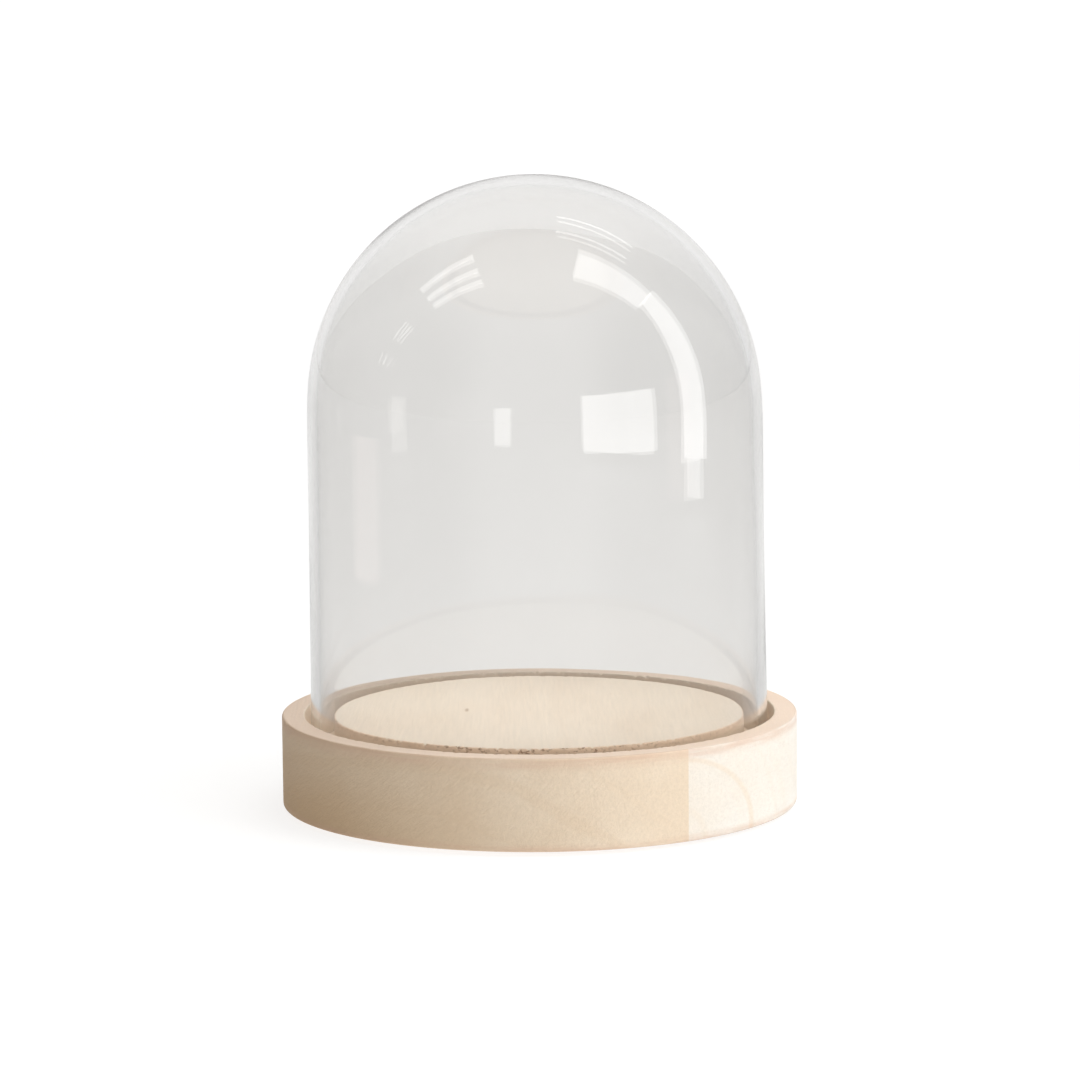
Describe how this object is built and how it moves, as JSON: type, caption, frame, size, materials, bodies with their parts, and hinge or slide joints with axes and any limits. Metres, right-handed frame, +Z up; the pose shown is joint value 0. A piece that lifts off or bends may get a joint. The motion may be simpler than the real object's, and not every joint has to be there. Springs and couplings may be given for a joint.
{
  "type": "bell jar dome",
  "caption": "Clear glass dome with a round top and no knob, standing loose in a groove milled into a round raw-wood base on thin felt pads; the dome lifts straight off.",
  "frame": {"origin": "centre of the base in the plane of the table, on the dome's axis", "axes": "+Z up along the dome's axis, -Y towards the viewer, +X towards the narrower board of the base"},
  "size_m": [0.12, 0.12, 0.147],
  "materials": {
    "clear_glass": "clear, fire-polished",
    "wide_board_wood": "raw pale wood, turned and lightly sanded",
    "narrow_board_wood": "raw pale wood, smoother and lighter than the wide board",
    "felt": "pressed felt"
  },
  "bodies": {
    "base": {"base_board_wide": "wide_board_wood", "base_board_narrow": "narrow_board_wood", "foot_pad_1": "felt", "foot_pad_2": "felt", "foot_pad_3": "felt", "foot_pad_4": "felt"},
    "dome": {"glass_dome": "clear_glass"}
  },
  "joints": [
    {"name": "dome_lift", "type": "slide", "parent": "base", "child": "dome", "axis": [0, 0, 1], "range_m": [0, 0.14]}
  ]
}
